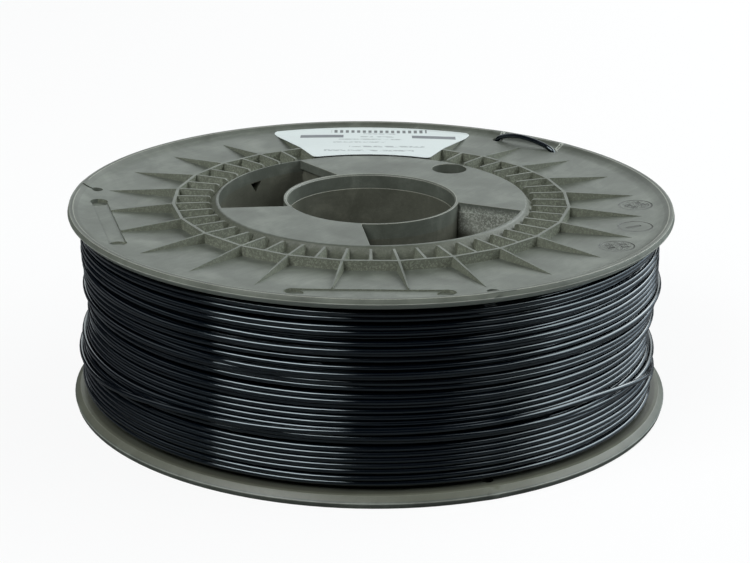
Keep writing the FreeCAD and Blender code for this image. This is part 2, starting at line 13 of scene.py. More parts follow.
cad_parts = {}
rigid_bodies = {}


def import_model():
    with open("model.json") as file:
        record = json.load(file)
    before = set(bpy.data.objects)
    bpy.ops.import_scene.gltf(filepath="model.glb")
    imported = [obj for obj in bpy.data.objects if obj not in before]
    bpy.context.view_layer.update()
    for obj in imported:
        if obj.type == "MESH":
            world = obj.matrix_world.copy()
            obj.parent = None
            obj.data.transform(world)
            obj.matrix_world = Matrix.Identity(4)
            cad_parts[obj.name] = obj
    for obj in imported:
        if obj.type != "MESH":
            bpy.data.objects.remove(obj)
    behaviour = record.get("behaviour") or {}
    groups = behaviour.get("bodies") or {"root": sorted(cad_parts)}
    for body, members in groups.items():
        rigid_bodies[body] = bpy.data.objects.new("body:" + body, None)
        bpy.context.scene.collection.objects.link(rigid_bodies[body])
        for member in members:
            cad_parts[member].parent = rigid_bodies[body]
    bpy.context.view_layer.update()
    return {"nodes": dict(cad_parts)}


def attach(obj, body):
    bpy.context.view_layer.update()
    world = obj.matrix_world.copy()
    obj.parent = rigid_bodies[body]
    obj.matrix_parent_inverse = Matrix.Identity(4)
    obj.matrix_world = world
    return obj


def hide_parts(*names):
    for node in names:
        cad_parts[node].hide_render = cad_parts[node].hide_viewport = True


bpy.ops.object.select_all(action="SELECT")
bpy.ops.object.delete()
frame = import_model()
bpy.ops.object.select_all(action="DESELECT")

MM = 0.001
HALF_WIDTH = 33  # mm: the spool is the same above and below this height
print("nodes:", ", ".join(sorted(frame["nodes"])))

# %% [markdown]
# The camera stands where the photographer's did. A spool's rims are circles, and a circle that is
# seen from the side becomes an ellipse whose flatness tells how far down the camera looks. The
# sizes of the two rims in the picture then give the distance. A long lens at two thirds of a metre
# keeps the perspective mild, and a small shift moves the spool to its place in the picture.

# %% Camera
SPOOL_MIDDLE = Vector((0, 0, HALF_WIDTH * MM))
CAMERA_TURN, CAMERA_RISE, CAMERA_ROLL = 217.5, 19.65, 0.535  # degrees
CAMERA_AWAY = 0.6657
LENS = 94.57
SHIFT_X, SHIFT_Y = 0.0062, 0.0126


def direction(turn, rise):
    """The way from the spool to a point at this turn round it and this rise, in degrees."""
    turn, rise = radians(turn), radians(rise)
    return Vector((cos(turn) * cos(rise), sin(turn) * cos(rise), sin(rise)))


toward_camera = direction(CAMERA_TURN, CAMERA_RISE)
bpy.ops.object.camera_add(location=SPOOL_MIDDLE + toward_camera * CAMERA_AWAY)
camera = bpy.context.object
camera.rotation_mode = "QUATERNION"
level = (-toward_camera).to_track_quat("-Z", "Y")
camera.rotation_quaternion = level @ Quaternion((0, 0, 1), radians(CAMERA_ROLL))
camera.data.lens = LENS
camera.data.shift_x, camera.data.shift_y = SHIFT_X, SHIFT_Y
bpy.context.scene.camera = camera
bpy.context.scene.view_settings.view_transform = "Standard"
print("camera at", [round(c, 4) for c in camera.location])

# %% [markdown]
# Shader maths reads best as plain formulas. A socket wrapped in this small class can be added,
# multiplied or compared in Python, and each operation adds its Math node. One method makes every
# other kind of node, so a material is a few lines of text and not a page of links.

# %% Shader maths in Python
class Signal:
    """A number, colour or vector that runs through a material, as the socket it comes from."""

    def __init__(self, tree, socket):
        self.tree, self.socket = tree, socket

    def node(self, kind, inputs, output=0, **settings):
        """Adds a node, makes its settings, fills its inputs and gives back one output."""
        added = self.tree.nodes.new(kind)
        stops = settings.pop("stops", None)
        for name, choice in settings.items():
            setattr(added, name, choice)
        if stops:
            ramp = added.color_ramp
            for spot, (place, colour) in enumerate(stops):
                element = ramp.elements[spot] if spot < 2 else ramp.elements.new(place)
                element.position, element.color = place, colour
        for name, value in inputs.items():
            if isinstance(value, Signal):
                self.tree.links.new(value.socket, added.inputs[name])
            else:
                added.inputs[name].default_value = value
        return Signal(self.tree, added.outputs[output])

    def maths(self, operation, *values):
        return self.node("ShaderNodeMath", dict(enumerate(values)), operation=operation)

    def __add__(self, other):
        return self.maths("ADD", self, other)

    def __sub__(self, other):
        return self.maths("SUBTRACT", self, other)

    def __rsub__(self, other):
        return self.maths("SUBTRACT", other, self)

    def __mul__(self, other):
        return self.maths("MULTIPLY", self, other)

    def __abs__(self):
        return self.maths("ABSOLUTE", self)

    def __pow__(self, power):
        return self.maths("POWER", self, power)

    __radd__ = __add__
    __rmul__ = __mul__

    def rises(self, low, high):
        """0 below low, 1 above high, with a soft step. It falls where high is the lower one."""
        return self.node(
            "ShaderNodeMapRange",
            {"Value": self, "From Min": low, "From Max": high},
            interpolation_type="SMOOTHSTEP",
        )

    def between(self, low, high, soft):
        """1 from low to high, and a soft step outside each of them."""
        return self.rises(low - soft, low) * self.rises(high + soft, high)

    def parts(self):
        """The x, y and z of a position or a direction."""
        return [self.node("ShaderNodeSeparateXYZ", {0: self}, output=axis) for axis in range(3)]

    def stretched(self, *factors):
        """A position with its three parts multiplied, so that a pattern on it gets drawn out."""
        return self.node("ShaderNodeVectorMath", {0: self, 1: factors}, operation="MULTIPLY")

    def noise(self, size, detail=2, rough=0.5, warp=0):
        """Smooth noise about a half, on a position in mm, with blots of this size in mm."""
        inputs = {"Vector": self, "Scale": 1 / size, "Detail": detail, "Roughness": rough}
        return self.node("ShaderNodeTexNoise", {**inputs, "Distortion": warp})

    def shades(self, first, second):
        """The first colour where this number is 0, the second one where it is 1."""
        inputs = {"Factor": self, 6: first, 7: second}
        return self.node("ShaderNodeMix", inputs, output=2, data_type="RGBA")

    def painted(self, other, amount):
        """This colour, covered by the other one where amount is 1."""
        return amount.shades(self, other)

    def bump(self, strength, distance):
        """The surface's direction where this number is its height, in steps of the distance."""
        inputs = {"Strength": strength, "Distance": distance, "Height": self}
        return self.node("ShaderNodeBump", inputs)


print("shader operations:", sum(callable(tool) for tool in vars(Signal).values()))

# %% [markdown]
# Colours are written as they look on a screen, because that is how one reads them off a picture.
# Blender works with linear numbers, so each is turned into those first. Every material starts the
# same way: one principled shader, and the position on the spool in millimetres to paint by.

# %% Colours and materials
def srgb(red, green, blue):
    """A colour as it looks on a screen, 0 to 255, in the linear numbers that Blender works with."""
    parts = [part / 255 for part in (red, green, blue)]
    return tuple(p / 12.92 if p <= 0.04045 else ((p + 0.055) / 1.055) ** 2.4 for p in parts) + (1,)


def new_material(name):
    """A material, its principled shader, and the position on the spool in mm."""
    material = bpy.data.materials.new(name)
    material.use_nodes = True
    shader = material.node_tree.nodes["Principled BSDF"]
    place = material.node_tree.nodes.new("ShaderNodeTexCoord").outputs["Object"]
    position = Signal(material.node_tree, place).stretched(1 / MM, 1 / MM, 1 / MM)
    return material, shader, position


def connect(shader, **inputs):
    """Sets or links shader inputs, whose names are written with _ for each space."""
    for name, value in inputs.items():
        socket = shader.inputs[name.replace("_", " ")]
        if isinstance(value, Signal):
            value.tree.links.new(value.socket, socket)
        else:
            socket.default_value = value


print("middle grey in linear numbers:", [round(part, 3) for part in srgb(128, 128, 128)[:3]])

# %% [markdown]
# The studio is a pale floor and a ring of soft lights. The camera sees the floor as nearly white,
# because most of its shader is a plain white glow for camera rays only. The rest is an ordinary
# pale surface, which keeps the spool's soft shadow. For all other rays the floor is a middle grey,
# so the plastic isn't lit by a glowing ground.

# %% Floor
FLOOR_SIZE = 8
FLOOR_GLOW = 0.985
GLOW_SHARE = 0.9  # of what the camera sees of the floor

bpy.ops.mesh.primitive_plane_add(size=FLOOR_SIZE)
floor = bpy.context.object
floor.name = "floor"

floor_paint, floor_shader, floor_place = new_material("floor_paint")
seen = floor_place.node("ShaderNodeLightPath", {}, output="Is Camera Ray")
bounced = floor_place.noise(300).shades(srgb(84, 87, 90), srgb(92, 94, 96))
connect(floor_shader, Base_Color=bounced.painted(srgb(236, 237, 238), seen), Roughness=0.9)
tree = floor_paint.node_tree
surface = Signal(tree, floor_shader.outputs[0])
glow = floor_place.node("ShaderNodeEmission", {"Color": (1, 1, 1, 1), "Strength": FLOOR_GLOW})
mixed = floor_place.node("ShaderNodeMixShader", {0: seen * GLOW_SHARE, 1: surface, 2: glow})
tree.links.new(mixed.socket, tree.nodes["Material Output"].inputs["Surface"])
floor.data.materials.append(floor_paint)
print("floor:", [round(side, 1) for side in floor.dimensions.xy], "m")

# %% [markdown]
# Beyond the floor the camera sees plain white too. The same trick makes it: the world glows fully
# for camera rays, and lights the spool hardly at all.

# %% World
SKY_LIGHT = 0.02  # for all rays but the camera's

world = bpy.data.worlds.new("studio")
world.use_nodes = True
bpy.context.scene.world = world
sky = world.node_tree.nodes["Background"]
light_path = world.node_tree.nodes.new("ShaderNodeLightPath")
seen = Signal(world.node_tree, light_path.outputs["Is Camera Ray"])
world.node_tree.links.new((seen * (1 - SKY_LIGHT) + SKY_LIGHT).socket, sky.inputs["Strength"])
sky.inputs["Color"].default_value = (1, 1, 1, 1)
print("world:", bpy.context.scene.world.name)

# %% [markdown]
# Each lamp is a softbox that faces the spool. A glossy strand is a tiny curved mirror: it shows a
# softbox as one bright line, and where the softbox ends the line ends. One box on the left makes
# the bright block of lines there, a narrow faint one beside it lets the block fade out, and a gap
# in front leaves the middle dark. A wide strip, its fainter end and a low fill light the right,
# and weak boxes far left and low down keep that side from going black. A box high behind lays a
# cool sheen on the flange, and a faint one straight above fills the bore and the windows.

# %% Softboxes
# name, turn and rise in degrees, distance, width and height in metres, glow, colour
SOFTBOXES = [
    ("left_window", -42.7, 45, 1.2, 0.8, 0.6, 7.4, (0.95, 0.99, 1.0)),
    ("left_window_end", -14, 47, 1.2, 0.14, 0.5, 2.2, (0.95, 0.99, 1.0)),
    ("left_far", -115, 40, 1.3, 1.2, 0.5, 0.5, (0.93, 0.97, 1.0)),
    ("left_low", -48, 8, 1.4, 1.3, 0.7, 0.06, (0.8, 0.92, 1.0)),
    ("right_strip", 110, 37, 1.2, 1.9, 0.7, 3.9, (0.95, 0.99, 0.98)),
    ("right_strip_end", 53, 42, 1.2, 0.25, 0.7, 1.4, (0.95, 0.98, 1.0)),
    ("right_fill", 107, 15, 1.4, 2.0, 1.5, 1.15, (0.74, 0.88, 1.0)),
    ("back_box", 180, 25, 1.6, 1.6, 0.9, 1.2, (0.92, 0.98, 0.99)),
    ("top_box", 0, 88, 1.3, 1.2, 1.2, 0.17, (1.0, 1.0, 1.0)),
]


def softbox(name, turn, rise, away, wide, tall, glow, colour):
    """A soft lamp at a turn from the camera's own direction, to the right where positive."""
    toward = direction(CAMERA_TURN + turn, rise)
    bpy.ops.object.light_add(type="AREA", location=SPOOL_MIDDLE + toward * away)
    lamp = bpy.context.object
    lamp.name = name
    lamp.rotation_mode = "QUATERNION"
    lamp.rotation_quaternion = toward.to_track_quat("Z", "Y")
    lamp.data.shape = "RECTANGLE"
    lamp.data.size, lamp.data.size_y = wide, tall
    lamp.data.energy = glow * wide * tall * pi
    lamp.data.color = colour


for box in SOFTBOXES:
    softbox(*box)

# %% [markdown]
# The flanges are injection-moulded from a dull grey-green plastic. Its finish differs from part to
# part: the ribbed channel is rough. Light and shade are painted in too: paler bands on the rim,
# pale upright walls, rib tops and a wall of the hub, dark grooves, and a painted shade on the lower
# flange where the winding shades it. A picture wrapped round the spool could hold this, but it
# would blur up close.
# Here each zone is a formula instead. The distance from the bore's axis and the depth below the
# nearer outer side tell which part of the moulding a point is on.

# %% Zones of the moulding
FRONT_HOLES, REAR_HOLES = 7.5, 120  # degrees either way: the four holes for the filament's end


def turned(x, y, turn):
    """The same place measured along, and across, a direction at this turn in degrees."""
    along, across = cos(radians(turn)), sin(radians(turn))
    return x * along + y * across, y * along - x * across


def zones_of(position):
    """The zones of the moulding by name, each 1 on its own part and 0 elsewhere. Sizes in mm."""
    x, y, z = position.parts()
    radius = (x * x + y * y) ** 0.5
    depth = HALF_WIDTH - abs(z - HALF_WIDTH)
    upper = z.rises(HALF_WIDTH, HALF_WIDTH + 1)
    facing = position.node("ShaderNodeTexCoord", {}, output="Normal")
    upright = abs(facing.parts()[2]).rises(0.75, 0.45)
    lower_inside = depth.rises(2.0, 2.4) * (1 - upper)
    beside_hole = abs(turned(x, abs(y), FRONT_HOLES)[1])
    return {
        "upper": upper,
        "channel": radius.between(51.6, 66, 0.4) * depth.rises(0.25, 0.6),
        # painted highlight: the tops of the ribs and the ring are painted a little paler
        "rib_tops_highlight": radius.between(52.4, 66.4, 0.3) * depth.rises(0.25, 0.1),
        # painted light: upright walls between hub and rim are painted paler, standing in for the
        # light on them
        "rib_sides_light": upright * radius.between(51.6, 91, 0.4),
        "hub_inside": radius.rises(52, 51) * depth.rises(3, 6),
        "hub_slope": radius.between(51.4, 54.6, 0.3) * depth.rises(0.1, 0.3),
        # painted highlight: the hub's front window wall is painted pale and speckled, standing in
        # for light and glints on it
        "hub_ledge_light": radius.between(30, 50, 1) * depth.between(3, 8, 3) * y.rises(-3, -8),
        # painted shade: the end of the cove next to the rim's crest is painted darker
        "cove_end_shade": radius.between(96.7, 98.0, 0.3) * depth.rises(2, 1.5),
        # painted shade: the fine groove on the rim's crest is painted dark
        "rim_groove_shade": radius.between(98.5, 98.8, 0.15) * depth.rises(0.4, 0.2),
        # painted light: the upper rim's outer band is painted paler
        "rim_band_light": radius.rises(99.3, 99.5) * depth.between(0.3, 1.6, 0.1) * upper,
        # painted highlight: a pale line along the rim's widest ridge, weaker on the lower flange
        "rim_ridge": radius.rises(99.7, 99.9) * depth.between(1.5, 1.9, 0.1) * (upper * 0.6 + 0.4),
        # painted light: the underside of the upper rim is painted pale, standing in for light from
        # the floor below
        "rim_underside_light": radius.rises(97.9, 98.3) * depth.rises(1.8, 1.95) * upper,
        # painted light: the outer lip of the lower flange's inner side, beyond the winding's shade,
        # is painted a little paler
        "lower_lip_light": radius.rises(95.5, 96.5) * lower_inside,
        "lower_shade": radius.between(92, 96.5, 0.8) * lower_inside,
        "notches": beside_hole.rises(0.9, 0.6) * radius.between(95, 98.6, 0.3) * x.rises(0, 1),
    }


print("a quarter turn from +X to +Y:", [round(part) for part in turned(0, 1, 90)])

# %% [markdown]
# Moulders put small round stamps in the face of a part, which tell the month and the kind of
# plastic. Each is a disc set a little into the face with some relief in it. They are too shallow to
# be worth any faces: a height for the bump does it, and a painted shade darkens each stamp's rim
# and relief.

# %% Stamps
STAMP_RADIUS = 88
STAMP_TURNS = (-52, -67.4, -81.8)
PLAIN_STAMP = -67.4
STAMP_TILT = 38


def stamp(position, x, y, turn):
    """A stamp's height over its floor, and the painted shade on its rim and relief."""
    along = x - STAMP_RADIUS * cos(radians(turn))
    across = y - STAMP_RADIUS * sin(radians(turn))
    reach = (along * along + across * across) ** 0.5
    lengthwise, sidewise = turned(along, across, turn + STAMP_TILT)
    if turn == PLAIN_STAMP:
        relief = lengthwise.between(-3.2, 1.8, 0.3) * sidewise.between(-0.5, 0.5, 0.3)
    else:
        blocks = abs(abs(lengthwise) - 2.2).rises(1.3, 1.0)
        blocks = blocks * abs(abs(sidewise) - 1.3).rises(1.0, 0.7)
        crumbs = reach.rises(4.6, 4.2) * position.noise(0.9).rises(0.5, 0.56)
        relief = blocks * position.noise(1.1).rises(0.42, 0.5) + crumbs * 0.5
    height = reach.rises(5.3, 5.7) * 0.5 - relief * 0.5
    return height, relief * 0.9 + reach.between(5.1, 5.7, 0.2) * 0.6


print("stamps:", len(STAMP_TURNS))

# %% [markdown]
# Up close the plastic is never one flat colour: the melt leaves cloudy patches and fine streaks,
# and the channel has a speckled skin. The bevelled edges are painted lighter, partly as rubbed wear
# and partly as a painted highlight. Noise of several sizes makes the ground tone, and the zones are
# then painted over it one by one, as a model maker would with thin coats: some coats are the
# plastic's own, and others are painted light and shade on the rim, the upright walls, the rib tops,
# a wall of the hub, the grooves and the lower flange. The same noise feeds roughness and bump, so
# that a pale grain is also a raised one. Flange and hub share the recipe and differ in tone only.

# %% Moulded plastic
def moulded_plastic(name, deep_tone, tone, pale_tone):
    """The spool's plastic, cloudy between three tones, with its zones, wear and stamps."""
    material, shader, position = new_material(name)
    zone = zones_of(position)
    x, y, _ = position.parts()
    edge = position.node("ShaderNodeAttribute", {}, output="Fac", attribute_name="edge")
    clouds = position.noise(14, detail=4, rough=0.6, warp=0.6)
    streaks = position.stretched(0.12, 0.9, 1).noise(1.1, detail=3, warp=0.4)
    grain = position.noise(0.5, detail=3, rough=0.7)
    speckle = position.noise(0.9, detail=4, rough=0.75).rises(0.56, 0.7)
    mottle = position.noise(0.7, detail=3, rough=0.8).rises(0.46, 0.62)

    cloudy = (clouds - 0.5) * 1.6 + (streaks - 0.5) * 0.4 + (grain - 0.5) * 0.5 + 0.5
    stops = [(0.0, deep_tone), (0.5, tone), (1.0, pale_tone)]
    colour = position.node("ShaderNodeValToRGB", {0: cloudy}, stops=stops)
    # edges painted paler: partly rubbed wear, partly painted highlight, stronger on the upper
    # flange
    worn_and_highlit = edge * (zone["upper"] * 0.7 + 0.3) * (grain * 1.2)
    coats = [
        (pale_tone, speckle * (zone["channel"] * 0.7 + zone["hub_inside"] * 0.3 + 0.06)),
        # painted light on the upright walls
        (srgb(104, 107, 93), zone["rib_sides_light"] * 0.75),
        # pale mottle: the channel's own speckle, and more painted light on the upright walls
        (srgb(138, 142, 127), mottle * (zone["rib_sides_light"] * 0.5 + zone["channel"] * 0.35)),
        # painted highlight and glints on the hub's front window wall
        (srgb(196, 200, 190), zone["hub_ledge_light"] * (clouds * 0.5 + mottle * 0.5)),
        # painted light on the upper rim's outer band
        (srgb(122, 126, 115), zone["rim_band_light"] * (clouds * 1.1)),
        # painted light on the underside of the upper rim
        (srgb(178, 184, 171), zone["rim_underside_light"] * 0.85),
        # painted highlight along the rim's ridge
        (srgb(196, 199, 190), zone["rim_ridge"] * (clouds * 1.2)),
        # painted light on the lower flange's outer lip
        (srgb(98, 98, 84), zone["lower_lip_light"] * 0.6),
        (srgb(58, 58, 49), zone["lower_shade"] * 0.7),
        (srgb(70, 72, 58), zone["hub_slope"] * 0.6),
        # painted shade in the rim's groove and at the cove's end
        (srgb(52, 54, 44), zone["rim_groove_shade"] * 0.8 + zone["cove_end_shade"] * 0.3),
        # painted highlight on the rib tops; on the edges, rubbed wear and painted highlight
        (srgb(150, 150, 138), zone["rib_tops_highlight"] * 0.05 + worn_and_highlit),
    ]
    stamped = 0
    for turn in STAMP_TURNS:
        height, lines = stamp(position, x, y, turn)
        stamped = height + stamped
        # painted shade in the stamp's rim and relief
        coats.append((srgb(48, 50, 42), lines))
    coats.append((srgb(205, 208, 200), zone["notches"] * 0.8))
    for coat, amount in coats:
        colour = colour.painted(coat, amount)

    fine = position.noise(0.22, detail=2)
    skin = grain * 0.5 + fine * 0.3 + speckle * zone["channel"] * 1.2 + streaks * 0.15
    connect(
        shader,
        Base_Color=colour,
        Roughness=0.44 + (grain - 0.5) * 0.22 + zone["channel"] * 0.1,
        Normal=(skin * 0.03 + stamped).bump(1, MM),
    )
    print(name, "has", len(material.node_tree.nodes), "nodes")
    return material


flange_plastic = moulded_plastic(
    "flange_plastic", srgb(67, 70, 62), srgb(85, 89, 81), srgb(110, 114, 105)
)
hub_plastic = moulded_plastic("hub_plastic", srgb(66, 67, 58), srgb(84, 85, 75), srgb(110, 110, 98))

# %% [markdown]
# Three helpers serve the pieces. An operator acts on all that is selected, so the first selects
# only what is meant. The second gives a piece its name, finish and place on the spool's body. The
# third adds a modifier and applies it at once, so that the mesh itself has the finished shape.

# %% Tools for the pieces
def only(piece):
    """Selects this piece and nothing else."""
    bpy.ops.object.select_all(action="DESELECT")
    piece.select_set(True)
    bpy.context.view_layer.objects.active = piece


def add_to_spool(piece, name, slot, material, *nodes):
    """Names a piece, paints it, and lets it ride on the spool, in place of the given nodes."""
    piece.name = piece.data.name = name
    piece.data.materials.clear()
    piece.data.materials.append(material)
    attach(piece, "root")
    if nodes:
        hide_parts(*nodes)
    print(f"{name}: {len(piece.data.polygons)} faces")


def apply_modifier(piece, kind, **settings):
    """Adds a modifier with these settings and applies it at once."""
    only(piece)
    modifier = piece.modifiers.new(kind.lower(), kind)
    for name, choice in settings.items():
        setattr(modifier, name, choice)
    bpy.ops.object.modifier_apply(modifier=modifier.name)


# %% [markdown]
# A moulding has no knife edges: each corner of the mould has a small radius, and this thin round
# strip catches the light as a bright line. The packed solids have exact, sharp edges. A copy of
# each gets its loose triangles merged and a fine Bevel on the sharp edges that show. The new strips
# are marked with an attribute, so that the plastic can be painted a little paler there, partly as
# rubbed wear and partly as a painted highlight. Smoothing only the gentle corners keeps the flat
# faces flat.

# %% Softened copies
EDGE_WIDTH = 0.14 * MM
MERGED = 0.002 * MM
FLAT, SHARP, GENTLE = radians(0.5), radians(24), radians(50)


def merge_faces(piece):
    """Joins the triangles of each flat face, and leaves the sharp edges selected."""
    only(piece)
    bpy.ops.mesh.customdata_custom_splitnormals_clear()
    bpy.ops.object.mode_set(mode="EDIT")
    bpy.ops.mesh.select_mode(type="EDGE")
    bpy.ops.mesh.select_all(action="SELECT")
    bpy.ops.mesh.remove_doubles(threshold=MERGED)
    bpy.ops.mesh.dissolve_limited(angle_limit=FLAT)
    bpy.ops.mesh.select_all(action="DESELECT")
    bpy.ops.mesh.edges_select_sharp(sharpness=SHARP)
    bpy.ops.object.mode_set(mode="OBJECT")


def bevel_weights(mesh, wanted):
    """1 for each selected edge that is wanted by its middle's radius, turn and depth."""
    weights = []
    for edge in mesh.edges:
        ends = [mesh.vertices[end].co for end in edge.vertices]
        x, y, z = (ends[0] + ends[1]) / (2 * MM)
        depth = HALF_WIDTH - abs(z - HALF_WIDTH)
        chosen = edge.select and wanted(sqrt(x * x + y * y), degrees(atan2(y, x)), depth)
        weights.append(float(chosen))
    return weights


def softened_copy(node, wanted):
    """A copy of a packed node with merged faces and a fine round on its wanted sharp edges."""
    mesh = frame["nodes"][node].data.copy()
    piece = bpy.data.objects.new(node + "_copy", mesh)
    bpy.context.scene.collection.objects.link(piece)
    merge_faces(piece)
    weights = bevel_weights(mesh, wanted)
    mesh.attributes.new("bevel_weight_edge", "FLOAT", "EDGE").data.foreach_set("value", weights)
    # The bevel's strips take the second of two passing materials, which marks them
    mesh.materials.clear()
    for slot in ("face", "edge"):
        mesh.materials.append(bpy.data.materials.new(slot))
    apply_modifier(
        piece, "BEVEL", width=EDGE_WIDTH, segments=1, limit_method="WEIGHT",
        use_clamp_overlap=False, material=1,
    )
    mark = mesh.attributes.new("edge", "FLOAT", "FACE")
    mark.data.foreach_set("value", [float(face.material_index) for face in mesh.polygons])
    for face in mesh.polygons:
        face.material_index = 0
    for slot in list(mesh.materials):
        bpy.data.materials.remove(slot)
    bpy.ops.object.shade_smooth_by_angle(angle=GENTLE)
    apply_modifier(piece, "WEIGHTED_NORMAL", weight=50, keep_sharp=True)
    print(node, "has", int(sum(weights)), "softened edges")
    return piece


print("edges get a width of", EDGE_WIDTH / MM, "mm")

# %% [markdown]
# The flanges and the hub between them are all made this way. Each edge is chosen by where its
# middle lies: the rim, the windows and the ends of the bore are softened, because hands and light
# reach them. The edges of the small holes stay sharp, since there is no room there for a bevel.

# %% Flanges and hub
RIM_INSIDE, WINDOWS_OUTSIDE, BORE_OUTSIDE = 97, 50.4, 27.7
PLATE_DEPTH = 2.9
NEAR_HOLE = 2.2  # degrees


def flange_edges(radius, turn, depth):
    """The edges of rim, windows and bore, but not those of the small holes and notches."""
    from_hole = min(abs(abs(turn) - hole) for hole in (FRONT_HOLES, REAR_HOLES))
    on_rim = radius > RIM_INSIDE and from_hole >= NEAR_HOLE
    return on_rim or (radius < WINDOWS_OUTSIDE and depth < PLATE_DEPTH)


def hub_edges(radius, turn, depth):
    """Only the ends of the bore: the hub's other edges are out of the light."""
    return radius < BORE_OUTSIDE


for node, wanted, name, slot, plastic in (
    ("upper_flange", flange_edges, "upper_flange_moulding", "flange_plastic", flange_plastic),
    ("lower_flange", flange_edges, "lower_flange_moulding", "flange_plastic", flange_plastic),
    ("hub_core", hub_edges, "hub_moulding", "hub_plastic", hub_plastic),
):
    add_to_spool(softened_copy(node, wanted), name, slot, plastic, node)

# %% [markdown]
# The filament is one glossy black strand. It gets its own finish: nearly black with a trace of
# blue and smooth. A very light waviness breaks the long reflections a little, and some stretches
# are duller than others, so that each turn shines in its own way.

# %% Filament finish
filament_black, filament_shader, filament_place = new_material("filament_black")
dusty = filament_place.stretched(1, 1, 3).noise(6, detail=3)
dull = filament_place.stretched(0.06, 0.06, 1).noise(1.6, detail=2).rises(0.35, 0.65)
connect(
    filament_shader,
    Base_Color=dusty.shades(srgb(1, 4, 9), srgb(4, 9, 17)),
    Roughness=0.05 + dusty * 0.05 + dull * 0.1,
    IOR=1.65,
    Specular_Tint=(0.8, 0.94, 1, 1),
    Coat_Weight=0.35,
    Coat_Roughness=0.08,
    Normal=filament_place.noise(2.5, detail=2).bump(0.25, 0.04 * MM),
)
print("filament finish:", len(filament_black.node_tree.nodes), "nodes")

# %% [markdown]
# Every length of filament here is a round tube along a path. A curve with a bevel makes it: the
# path is set in turns round the spool, distances from its axis and heights, and becomes a mesh
# with closed ends. Straight steps are enough for the long winding, whose steps are short, and a
# smooth curve suits a short length that bends sharply.

# %% Strands
WIRE = 1.75
STEPS = 120  # to one turn
END_TURN = 12.5


def turn_at(step):
    """Where a step is round the spool. The strand runs clockwise seen from above."""
    return END_TURN - 360 * step / STEPS


def strand(places, sides=12, smooth=False):
    """A round strand past (turn, radius, height) places, as a mesh with closed ends."""
    curve = bpy.data.curves.new("strand", "CURVE")
    curve.dimensions = "3D"
    curve.bevel_depth = WIRE / 2 * MM
    curve.bevel_resolution = sides // 2 - 2
    curve.use_fill_caps = True
    spline = curve.splines.new("NURBS" if smooth else "POLY")
    spline.points.add(len(places) - 1)
    for point, (turn, radius, height) in zip(spline.points, places):
        turn = radians(turn)
        point.co = (radius * cos(turn) * MM, radius * sin(turn) * MM, height * MM, 1)
    if smooth:
        curve.resolution_u = 8
        spline.order_u = 3
        spline.use_endpoint_u = True
    else:
        curve.twist_mode = "Z_UP"
    piece = bpy.data.objects.new("strand", curve)
    bpy.context.scene.collection.objects.link(piece)
    only(piece)
    bpy.ops.object.convert(target="MESH")
    bpy.ops.object.shade_smooth()
    return bpy.context.object


print("the strand is", WIRE, "mm thick, with", STEPS, "steps to a turn")

# %% [markdown]
# The winding is what one looks at first. A machine lays it, but never quite evenly: the strand
# wanders, leaves gaps that show the layer below, climbs on its neighbour and now and then crosses
# over it. Drawing rings one by one would look like a stack of washers, so the whole outer layer is
# one long strand. Its height wanders with smooth noise. Then turns that overlap push each other
# apart, as real ones do, but less where they will ride on each other.

# %% Heights of the outer turns
TURNS = 29
LOWEST, HIGHEST = 4.86, 60.29
DRIFT = 0.95
EASE_STEPS = 40  # at both ends, where the strand leaves its even climb by and by
PUSHES, FORCE = 60, 0.25


def wander(turn, speed, seed):
    """Smooth noise of about -1 to 1 along the strand."""
    return noise.noise(Vector((turn * speed, seed, 0.5))) * 1.6


def evened(values, reach):
    """Each value as the mean of its neighbourhood."""
    padded = np.pad(values, reach, mode="edge")
    return np.convolve(padded, np.ones(2 * reach + 1) / (2 * reach + 1), mode="valid")


last = TURNS * STEPS
steps = np.arange(last + 1)
climb = LOWEST + (HIGHEST - LOWEST) * steps / last
ease = np.clip(np.minimum(steps, last - steps) / EASE_STEPS, 0, 1)
drift = np.array([
    wander(s / STEPS, 0.8, 3) + 0.9 * wander(s / STEPS, 2.1, 8) + 0.5 * wander(s / STEPS, 4.3, 12)
    for s in steps
])
riding = np.array([wander(s / STEPS, 1.3, 15) for s in steps])
next_force = np.clip(0.9 - 3 * riding, 0.04, 1) * FORCE
second_force = np.full(last + 1, FORCE)
heights = climb + ease * DRIFT * drift
for push in range(PUSHES):
    # Each turn pushes the next one, and the second next where that one has ridden away
    for shift, room, force in (
        (STEPS, WIRE + 0.02, next_force), (2 * STEPS, WIRE + 0.1, second_force)
    ):
        crowd = np.clip(room - (heights[shift:] - heights[:-shift]), 0, None)
        heights[shift:] += crowd * force[shift:]
        heights[:-shift] -= crowd * force[shift:]
    if push % 4 == 3:
        heights = evened(heights, 2)
    heights = np.clip(heights, LOWEST, HIGHEST)
    heights[-4:] = HIGHEST  # where the filament's end goes on
gaps = heights[STEPS:] - heights[:-STEPS]
print("pitch", round(gaps.mean(), 2), "spread", round(gaps.std(), 2), "least", round(gaps.min(), 2))

# %% [markdown]
# Now each step of the strand is laid from the bottom up. It rests on the layer below, whose
# outside bulges and dips, and where a neighbour is in the way it is lifted on top of it. A taut
# strand can't follow every small step in and out: it bridges the lows and bends softly. So each
# step is laid a little late, once the steps to both sides of it are known.

# %% Outer turns
REACH = 3  # steps to each side that a taut strand bridges, and over which it bends
SQUEEZE = 0.08  # where strands touch, one may press into the other by this much
laid = [[] for _ in range(STEPS)]


def outside(height, turn):
    """Radius of the winding's outside at a height and a turn round it: it bulges and dips."""
    levels = (5, 13, 24, 31, 38, 51, 60)
    left = np.interp(height, levels, (96.5, 96.7, 95.6, 94.4, 94.6, 96.3, 96.0))
    right = np.interp(height, levels, (95.4, 95.1, 93.6, 93.8, 95.8, 95.8, 95.4))
    return left + (right - left) * (0.5 + 0.5 * cos(radians(turn - 307.5)))


